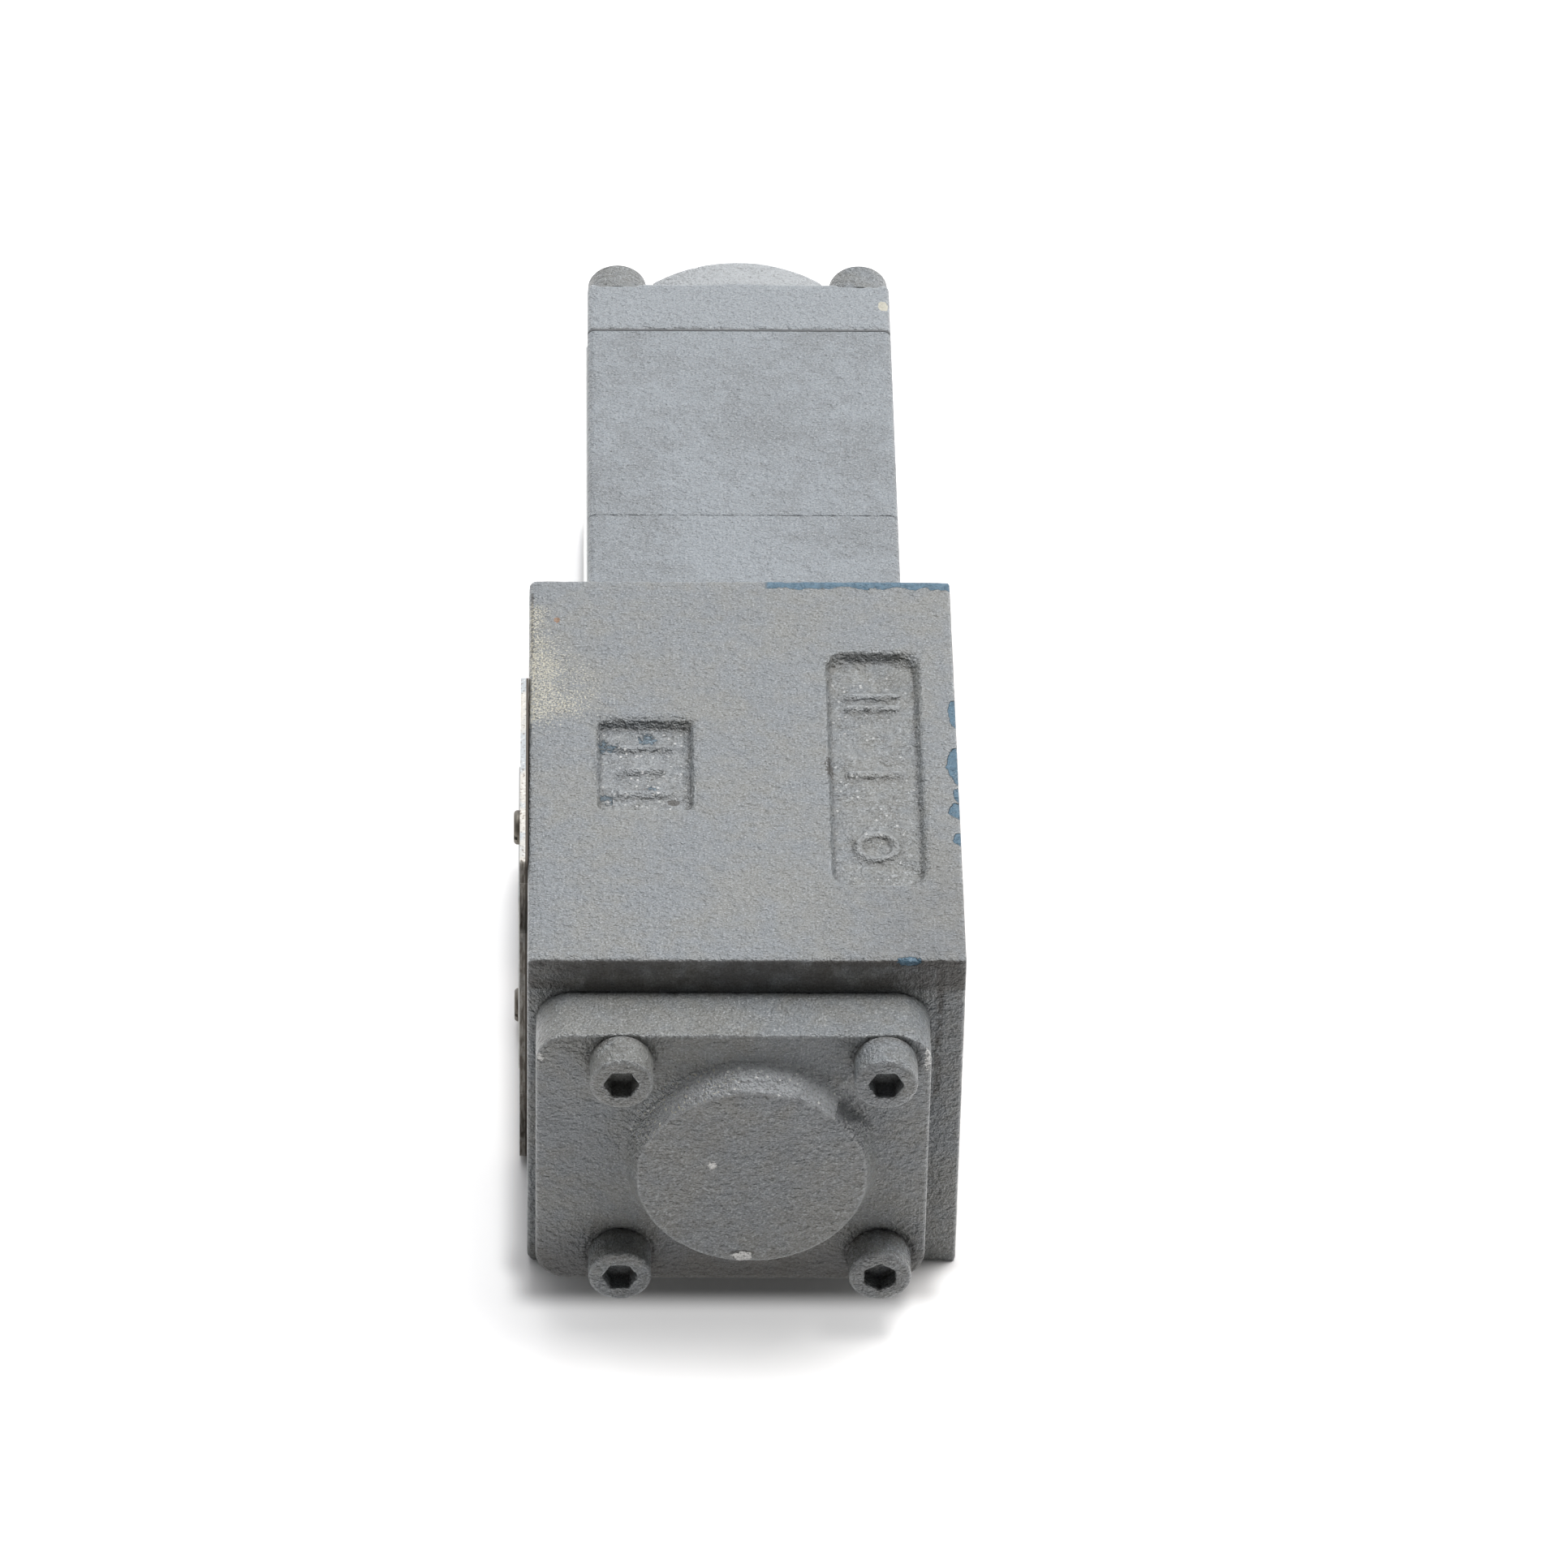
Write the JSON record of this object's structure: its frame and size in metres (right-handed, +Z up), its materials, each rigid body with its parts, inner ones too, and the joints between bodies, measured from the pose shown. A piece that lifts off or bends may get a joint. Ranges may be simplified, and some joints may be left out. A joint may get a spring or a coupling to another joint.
{
  "type": "solenoid directional valve",
  "caption": "Single-solenoid, spring-return hydraulic directional valve: cast spool body, bolted spring cap, square coil housing and manual override.",
  "frame": {"origin": "middle of the four mounting bolts, on the port face", "axes": "+X out of the port face; +Y along the spool from the spring cap towards the solenoid; +Z up as the valve lies on its side"},
  "size_m": [0.0723, 0.2072, 0.066],
  "materials": {
    "grey_paint_iron": "grey brushed-on enamel over an older blue coat, orange-peel texture, semi-gloss",
    "painted_screws": "painted-over socket screws",
    "painted_plate": "aluminium plate with worn grey paint",
    "blank_label": "pale blank plate, satin",
    "gasket": "dark fibre gasket",
    "nitrile": "black nitrile rubber",
    "ground_steel": "ground hardened steel",
    "turned_steel": "turned magnetic steel, oily",
    "zinc_steel": "zinc-plated steel screws",
    "spring_steel": "oil-tempered spring wire",
    "brass": "plain brass",
    "copper_winding": "enamelled copper wire",
    "nylon_black": "black glass-filled nylon",
    "wire_jacket": "black lead insulation"
  },
  "bodies": {
    "valve_body": {"body": "grey_paint_iron", "front_cap": "grey_paint_iron", "solenoid_flange": "grey_paint_iron", "coil_housing": "grey_paint_iron", "rear_cover": "grey_paint_iron", "front_cap_screws": "painted_screws", "solenoid_screws": "painted_screws", "wiring_cover": "painted_plate", "wiring_cover_screws": "zinc_steel", "terminal_screws": "zinc_steel", "name_plate": "blank_label", "rating_plate": "blank_label", "wiring_gasket": "gasket", "rear_gasket": "gasket", "port_orings": "nitrile", "front_cap_oring": "nitrile", "pole_oring": "nitrile", "override_oring": "nitrile", "coil_orings": "nitrile", "pole_piece": "turned_steel", "pressure_tube": "turned_steel", "tube_plug": "turned_steel", "return_spring": "spring_steel", "pole_shim": "brass", "coil_winding": "copper_winding", "coil_bobbin": "nylon_black", "terminal_block": "nylon_black", "coil_leads": "wire_jacket"},
    "spool": {"spool": "ground_steel", "spring_seat": "turned_steel"},
    "armature": {"armature": "turned_steel"},
    "push_pin": {"push_pin": "ground_steel"},
    "override_pin": {"override_pin": "ground_steel"}
  },
  "joints": [
    {"name": "spool_shift", "type": "slide", "parent": "valve_body", "child": "spool", "axis": [0, -1, 0], "range_m": [0, 0.004], "stiffness_N_per_m": 8000, "springref_m": -0.004, "deforming": ["return_spring"]},
    {"name": "armature_stroke", "type": "slide", "parent": "valve_body", "child": "armature", "axis": [0, -1, 0], "range_m": [0, 0.004]},
    {"name": "push_pin_stroke", "type": "slide", "parent": "valve_body", "child": "push_pin", "axis": [0, -1, 0], "range_m": [0, 0.004]},
    {"name": "override_press", "type": "slide", "parent": "valve_body", "child": "override_pin", "axis": [0, -1, 0], "range_m": [0, 0.004]}
  ],
  "couplings": [
    {"joint": "armature_stroke", "follows": "spool_shift", "ratio": 1},
    {"joint": "push_pin_stroke", "follows": "spool_shift", "ratio": 1},
    {"joint": "override_press", "follows": "spool_shift", "ratio": 1}
  ]
}
